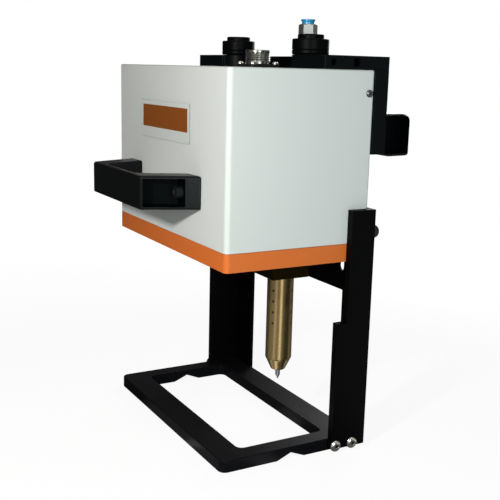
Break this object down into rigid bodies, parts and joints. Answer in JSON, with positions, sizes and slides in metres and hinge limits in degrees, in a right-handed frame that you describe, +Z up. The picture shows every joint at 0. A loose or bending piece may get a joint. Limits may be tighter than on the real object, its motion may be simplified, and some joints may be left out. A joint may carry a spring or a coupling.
{
  "type": "portable pin marking head",
  "caption": "Portable pneumatic pin marking head: cased cross slide carrying a brass stylus, held over the work by a bolted stand with a window frame.",
  "frame": {"origin": "under the middle of the whole object's box, on the underside of the base frame", "axes": "+Z up along the posts, -Y toward the front handle, +X to the right seen from the front, the side that the stylus is parked on"},
  "size_m": [0.24, 0.2426, 0.3586],
  "materials": {
    "white_paint": "semi-gloss fine texture paint",
    "orange_paint": "semi-gloss fine texture paint",
    "black_anodised": "black anodised",
    "black_plastic": "satin moulded",
    "aluminium": "milled",
    "bright_steel": "ground",
    "dark_steel": "black oxide",
    "brass": "turned",
    "nickel": "nickel plated",
    "dark_bronze": "dark bronze anodised",
    "blue_plastic": "moulded",
    "motor_black": "matt black"
  },
  "bodies": {
    "head_and_stand": {"air_fitting_body": "nickel", "air_fitting_nut": "nickel", "air_valve": "motor_black", "back_plate": "black_anodised", "base_frame": "black_anodised", "button_housing_left": "black_plastic", "button_housing_right": "black_plastic", "chassis": "orange_paint", "connector_insert": "black_plastic", "connector_shell": "nickel", "cover": "white_paint", "cover_screw_left": "dark_steel", "cover_screw_right": "dark_steel", "foot_screw_left_front": "bright_steel", "foot_screw_left_rear": "bright_steel", "foot_screw_right_front": "bright_steel", "foot_screw_right_rear": "bright_steel", "front_handle": "black_plastic", "front_handle_screw_left": "dark_steel", "front_handle_screw_right": "dark_steel", "front_shaft_rail": "aluminium", "handle_backing_strip": "bright_steel", "inner_back_plate": "aluminium", "left_post": "black_anodised", "name_plate": "white_paint", "rear_handle": "black_plastic", "rear_handle_screw_left": "dark_steel", "rear_handle_screw_right": "dark_steel", "rear_shaft_rail": "aluminium", "right_post": "black_anodised", "stand_rear_frame": "black_anodised", "top_plate": "black_anodised", "y_motor": "motor_black", "y_motor_bracket": "aluminium", "y_shaft_left": "bright_steel", "y_shaft_right": "bright_steel"},
    "y_slide_carriage": {"end_block_left": "aluminium", "end_block_right": "aluminium", "carriage_bridge": "aluminium", "x_shaft_front": "bright_steel", "x_shaft_rear": "bright_steel", "x_motor": "motor_black", "x_motor_bracket": "aluminium", "x_screw_bearing": "aluminium", "y_nut_block": "brass"},
    "x_slide_carriage": {"x_carriage": "aluminium", "x_nut_block": "brass", "stylus_holder": "dark_bronze", "stylus_body": "brass", "stylus_nose": "brass", "pin_spring": "bright_steel"},
    "y_screw": {"y_lead_screw": "bright_steel"},
    "x_screw": {"x_lead_screw": "bright_steel"},
    "pin": {"stylus_pin": "bright_steel"},
    "collet": {"release_collet": "blue_plastic"},
    "button_left": {"start_button_left": "black_plastic"},
    "button_right": {"start_button_right": "black_plastic"},
    "knob_left": {"clamp_knob_left": "dark_steel"},
    "knob_right": {"clamp_knob_right": "dark_steel"}
  },
  "joints": [
    {"name": "y_slide", "type": "slide", "parent": "head_and_stand", "child": "y_slide_carriage", "axis": [0, 1, 0], "range_m": [-0.046, 0.003]},
    {"name": "x_slide", "type": "slide", "parent": "y_slide_carriage", "child": "x_slide_carriage", "axis": [1, 0, 0], "range_m": [-0.1, 0.004]},
    {"name": "y_screw_turn", "type": "hinge", "parent": "head_and_stand", "child": "y_screw", "pos_m": [0.092, 0.0115, 0.24], "axis": [0, 1, 0], "range_deg": [-1660, 112]},
    {"name": "x_screw_turn", "type": "hinge", "parent": "y_slide_carriage", "child": "x_screw", "pos_m": [0, 0.0115, 0.219], "axis": [1, 0, 0], "range_deg": [-3610, 148]},
    {"name": "pin_strike", "type": "slide", "parent": "x_slide_carriage", "child": "pin", "axis": [0, 0, -1], "range_m": [0, 0.004], "stiffness_N_per_m": 300, "springref_m": -0.006, "deforming": ["pin_spring"]},
    {"name": "collet_press", "type": "slide", "parent": "head_and_stand", "child": "collet", "axis": [0, 0, -1], "range_m": [0, 0.0015], "stiffness_N_per_m": 300, "springref_m": -0.002},
    {"name": "start_button_left_press", "type": "slide", "parent": "head_and_stand", "child": "button_left", "axis": [0, 0, -1], "range_m": [0, 0.003], "stiffness_N_per_m": 300, "springref_m": -0.003},
    {"name": "start_button_right_press", "type": "slide", "parent": "head_and_stand", "child": "button_right", "axis": [0, 0, -1], "range_m": [0, 0.003], "stiffness_N_per_m": 300, "springref_m": -0.003},
    {"name": "clamp_knob_left_turn", "type": "hinge", "parent": "head_and_stand", "child": "knob_left", "pos_m": [-0.103, 0.0586, 0.186], "axis": [0, 1, 0], "range_deg": [0, 720]},
    {"name": "clamp_knob_right_turn", "type": "hinge", "parent": "head_and_stand", "child": "knob_right", "pos_m": [0.103, 0.0586, 0.186], "axis": [0, 1, 0], "range_deg": [0, 720]}
  ],
  "couplings": [
    {"joint": "y_screw_turn", "follows": "y_slide", "rad_per_m": 628.32},
    {"joint": "x_screw_turn", "follows": "x_slide", "rad_per_m": 628.32}
  ]
}
